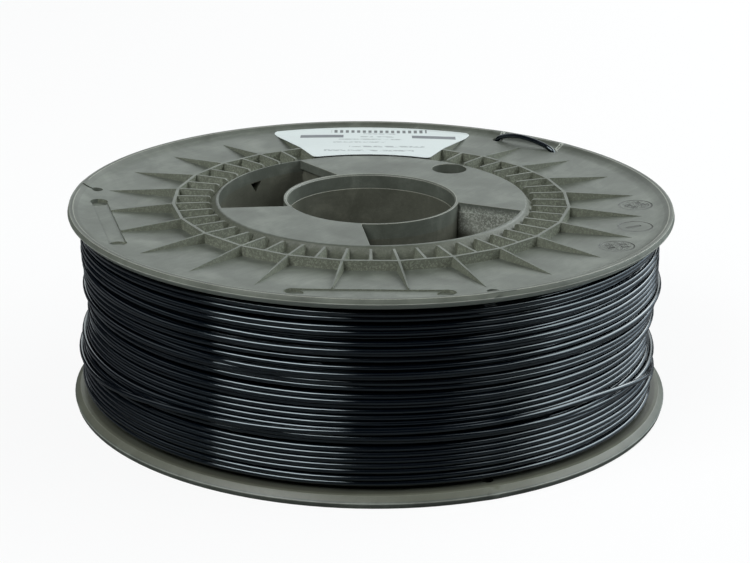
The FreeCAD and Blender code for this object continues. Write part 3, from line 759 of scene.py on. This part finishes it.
def touching(step, height):
    """Radii of strands laid here before that this one may touch, and how far off it must stay."""
    near = [(abs(height - other), radius) for other, radius in laid[step % STEPS]]
    return [(radius, sqrt(WIRE * WIRE - apart * apart)) for apart, radius in near if apart < WIRE]


def rest(step, height, base):
    """The least radius from the base outward at which a strand of this height has room."""
    near = touching(step, height)
    for radius in sorted([base] + [other + off for other, off in near]):
        if radius >= base and all(abs(radius - other) > off - SQUEEZE for other, off in near):
            return radius
    return base


wished, radii = [], []
for step in range(last + 2 * REACH + 1):
    if step <= last:
        base = outside(heights[step], turn_at(step)) - WIRE / 2
        wished.append(min(rest(step, heights[step], base), base + WIRE))
    spot = step - 2 * REACH
    if spot >= 0:
        bridged = [
            max(wished[max(0, i - REACH):i + REACH + 1])
            for i in range(max(0, spot - REACH), min(spot + REACH + 1, last))
        ]
        radii.append(sum(bridged) / len(bridged))
        laid[spot % STEPS].append((heights[spot], radii[-1]))
add_to_spool(
    strand([(turn_at(s), r, h) for s, r, h in zip(steps, radii, heights)]),
    "winding_outer_turns", "filament", filament_black, "filament_outer_turns",
)
print("outer turns reach", round(max(radii) + WIRE / 2, 2), "mm from the middle")

# %% [markdown]
# One length of strand has left its row and lies loosely on top of the others, all along the front.
# It follows a few measured places, rests on whatever lies under it, and slips under at its ends.

# %% Loose strand
DIVE, DIVE_STEPS = 2.2, 6  # how deep its ends go under, and how fast
MOST_SUNK = 0.3  # its middle lies no deeper than this under the winding's outside

crossing = [
    (299, 14), (294, 15.5), (283, 18.6), (274, 21.1), (265, 22.6), (254, 23.3),
    (232, 23.1), (208, 22.9), (186, 22.4), (172, 21.3), (161, 18.6), (148, 17.8), (132, 17.6),
    (110, 17.4), (96, 17.2),
]  # turn and height
turns = [-turn for turn, _ in crossing]
first, final = [round((END_TURN + turn) / 360 * STEPS) for turn in (turns[0], turns[-1])]
along = np.arange(first, final + 1)
tall = np.interp([-turn_at(s) for s in along], turns, [height for _, height in crossing])
tall = evened(tall, 3)
rested = [
    max([outside(h, turn_at(s)) - MOST_SUNK] + [other + off for other, off in touching(s, h)])
    for s, h in zip(along, tall)
]
bridged = evened([max(rested[max(0, i - 2):i + 3]) for i in range(len(rested))], 2)
under = 1 - np.clip(np.minimum(along - first, final - along) / DIVE_STEPS, 0, 1)
lying = bridged - DIVE * under ** 2
add_to_spool(
    strand([(turn_at(s), r, h) for s, r, h in zip(along, lying, tall)]),
    "winding_loose_strand", "filament", filament_black,
)

# %% [markdown]
# Under the gaps one sees the layer below, so this layer is real strands too, laid closely with
# only a little wander and sunk by one thickness. It runs the other way round, as every second
# layer does, and its strand has fewer faces, because little of it shows.

# %% Layer below
UNDER_TURNS = 30
below = []
for s in range(0, UNDER_TURNS * STEPS + 1, 2):
    height = LOWEST + (HIGHEST - LOWEST) * s / STEPS / UNDER_TURNS
    height += 0.2 * wander(s / STEPS, 1.7, 21)
    radius = outside(height, turn_at(-s)) - WIRE / 2 - WIRE + 0.15 * wander(s / STEPS, 2.3, 33)
    below.append((turn_at(-s), radius, height))
add_to_spool(strand(below, sides=8), "winding_under_turns", "filament", filament_black)

# %% [markdown]
# What lies under that is never seen: one plain ring stands for the hundreds of turns there, and
# only keeps light from shining through. A cylinder gets a hole by an inset at both ends and a
# bridge between them, is cut into thin slices, and its outside then follows the winding's bulges.

# %% Ring inside the winding
CORE_RADIUS, CORE_HOLE = 92, 53.1
CORE_SLICES = 20
CORE_DEPTH = 4  # under the winding's outside

bpy.ops.mesh.primitive_cylinder_add(
    vertices=96, radius=CORE_RADIUS * MM, depth=(HIGHEST - LOWEST - 1) * MM,
    location=(0, 0, (HIGHEST + LOWEST) / 2 * MM), end_fill_type="NGON",
)
core = bpy.context.object
bpy.ops.object.transform_apply(location=True, rotation=True, scale=True)
bpy.ops.object.mode_set(mode="EDIT")
bpy.ops.mesh.select_mode(type="FACE")
bpy.ops.mesh.select_all(action="DESELECT")
bpy.ops.object.mode_set(mode="OBJECT")
for face in core.data.polygons:
    face.select = abs(face.normal.z) > 0.9
bpy.ops.object.mode_set(mode="EDIT")
bpy.ops.mesh.inset(thickness=(CORE_RADIUS - CORE_HOLE) * MM)
bpy.ops.mesh.bridge_edge_loops()
for cut in range(1, CORE_SLICES):
    level = LOWEST + (HIGHEST - LOWEST) * cut / CORE_SLICES
    bpy.ops.mesh.select_all(action="SELECT")
    bpy.ops.mesh.bisect(plane_co=(0, 0, level * MM), plane_no=(0, 0, 1))
bpy.ops.object.mode_set(mode="OBJECT")
for corner in core.data.vertices:
    place = corner.co / MM
    radius = place.xy.length
    if radius > (CORE_RADIUS + CORE_HOLE) / 2:
        turn = degrees(atan2(place.y, place.x))
        corner.co.xy *= (outside(place.z, turn) - CORE_DEPTH) / radius
add_to_spool(core, "winding_core", "filament", filament_black, "filament_inner_winding")

# %% [markdown]
# The filament's end mustn't spring loose, so it goes up through one hole of the flange, over its
# face and down through the next. The stiff strand makes a low arch. It is a smooth curve through a
# few points: along the winding, up in the first hole, over the top, and down in the second.

# %% Filament's end
arch = [
    (15.5, 94.72, 60.29), (12.5, 94.72, 60.29), (10.2, 94.6, 60.35), (8.9, 94.2, 60.9),
    (8.0, 93.7, 62.3), (7.6, 93.5, 64.2), (6.8, 93.4, 65.5), (4.7, 93.4, 66.5),
    (1.8, 93.4, 66.95), (-1.6, 93.4, 66.5), (-4.6, 93.4, 65.6), (-6.9, 93.4, 64.7),
    (-7.7, 93.6, 63.2), (-8.2, 93.9, 61.2),
]  # turn, radius and height
add_to_spool(
    strand(arch, smooth=True), "filament_end", "filament", filament_black, "filament_tail"
)

# %% [markdown]
# The label is plain paper with two printed bars, a scale of short ticks and a few faint broken
# rules. Its shape comes with the packed model, rounded at the corners and bent down at the rim, so
# it keeps that mesh and gets a paper finish: off-white with faint fibres, and print where the
# distance outward along the label and the distance sideways say so.

# %% Label finish
LABEL_TURN = 37.5
TICKS_PER_MM = 0.47
RULE_WIDTH = 1.6
RULES = [
    (85.8, -9, 3), (79.8, -8, 4), (74.7, -11, 12), (69.0, -5, 14), (61.8, -19, 8), (56.4, -15, 17)
]  # distance outward, start and stop sideways

label_paper, label_shader, label_place = new_material("label_paper")
x, y, _ = label_place.parts()
outward, sideways = turned(x, y, LABEL_TURN)
bars = outward.between(79.0, 84.3, 0.15) * (
    sideways.between(10.6, 26.4, 0.2) + sideways.between(-31.0, -15.0, 0.2)
)
tick = sideways * TICKS_PER_MM
ticks = tick.maths("FRACT", tick).between(0.1, 0.55, 0.1)
ticks = ticks * outward.between(88.8, 91.8, 0.3) * sideways.between(-20.5, 15.0, 0.2)
rules = 0
for low, start, stop in RULES:
    rules = outward.between(low, low + RULE_WIDTH, 0.2) * sideways.between(start, stop, 0.3) + rules
broken = label_place.noise(1.4).rises(0.4, 0.55)

fibres = label_place.stretched(1, 1, 0.3).noise(0.7, detail=4, rough=0.7)
paper = fibres.shades(srgb(190, 196, 195), srgb(202, 208, 207))
printed = paper.painted(srgb(104, 107, 111), bars).painted(srgb(30, 32, 34), ticks * 0.8)
connect(
    label_shader,
    Base_Color=printed.painted(srgb(120, 124, 126), rules * (broken * 0.7)),
    Roughness=0.5 + fibres * 0.15,
    Normal=fibres.bump(0.3, 0.03 * MM),
)
label = frame["nodes"]["label"]
label.data.materials.clear()
label.data.materials.append(label_paper)
print("label finish:", len(label_paper.node_tree.nodes), "nodes")
